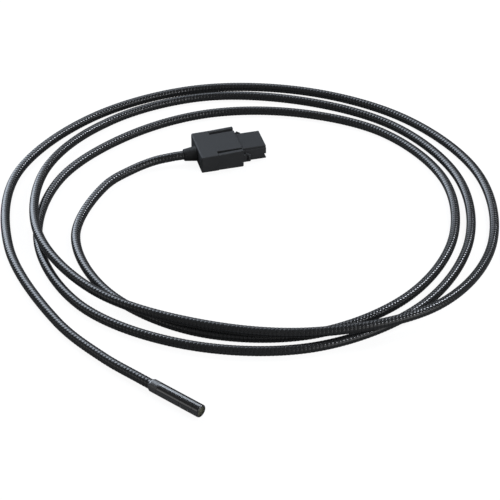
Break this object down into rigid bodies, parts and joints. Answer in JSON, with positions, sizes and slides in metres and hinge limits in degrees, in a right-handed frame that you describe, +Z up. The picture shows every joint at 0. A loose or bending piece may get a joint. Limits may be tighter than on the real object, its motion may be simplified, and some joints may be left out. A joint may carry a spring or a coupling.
{
  "type": "inspection camera probe",
  "caption": "Inspection camera probe: a slim glossy camera head on a ribbed gooseneck cable laid in loose loops, with a flat plug that locks by side squeeze latches.",
  "frame": {"origin": "centre of the plug's underside, on the surface that the plug, the cable and the head lie on", "axes": "+X along the plug to its connector nose, +Y to the plug's left, +Z up"},
  "size_m": [0.3415, 0.3604, 0.0138],
  "materials": {
    "dark_abs": "fine matt texture, dark slate grey",
    "slate_abs": "fine matt texture, slate grey",
    "black_rubber": "matt black",
    "cable_black": "black coated gooseneck, semi-gloss on its fine ribs",
    "wire_jacket": "matt grey jacket",
    "gloss_black": "polished black",
    "satin_black": "satin black",
    "window_mineral": "clear polished",
    "zinc_steel": "zinc plated",
    "gold_plate": "gold plated",
    "ivory_nylon": "moulded, matt",
    "green_laminate": "solder mask",
    "chip_epoxy": "moulded epoxy, matt",
    "led_phosphor": "yellow phosphor"
  },
  "bodies": {
    "probe": {"plug_housing": "dark_abs", "bottom_cover": "dark_abs", "cover_screw_1": "zinc_steel", "cover_screw_2": "zinc_steel", "connector_nose": "slate_abs", "contact_block": "ivory_nylon", "contact_1": "gold_plate", "contact_2": "gold_plate", "contact_3": "gold_plate", "contact_4": "gold_plate", "contact_5": "gold_plate", "contact_6": "gold_plate", "contact_7": "gold_plate", "contact_8": "gold_plate", "plug_board": "green_laminate", "bridge_chip": "chip_epoxy", "crystal_can": "zinc_steel", "wire_clamp": "zinc_steel", "strain_relief": "black_rubber", "gooseneck_cable": "cable_black", "wire_bundle": "wire_jacket", "rear_collar": "satin_black", "rear_seal": "black_rubber", "head_sleeve": "gloss_black", "front_barrel": "gloss_black", "nose_ring": "gloss_black", "window_glass": "window_mineral", "front_seal": "black_rubber", "led_board": "green_laminate", "led_1": "led_phosphor", "led_2": "led_phosphor", "led_3": "led_phosphor", "led_4": "led_phosphor", "led_5": "led_phosphor", "led_6": "led_phosphor", "lens_barrel": "satin_black", "lens": "window_mineral", "image_sensor": "chip_epoxy", "sensor_board": "green_laminate"},
    "latch_left": {"latch_arm_left": "dark_abs"},
    "latch_right": {"latch_arm_right": "dark_abs"}
  },
  "joints": [
    {"name": "latch_left_squeeze", "type": "hinge", "parent": "probe", "child": "latch_left", "pos_m": [-0.0027, 0.0154, 0], "axis": [0, 0, -1], "range_deg": [0, 6], "stiffness_Nm_per_rad": 0.8},
    {"name": "latch_right_squeeze", "type": "hinge", "parent": "probe", "child": "latch_right", "pos_m": [-0.0027, -0.0154, 0], "axis": [0, 0, 1], "range_deg": [0, 6], "stiffness_Nm_per_rad": 0.8}
  ]
}
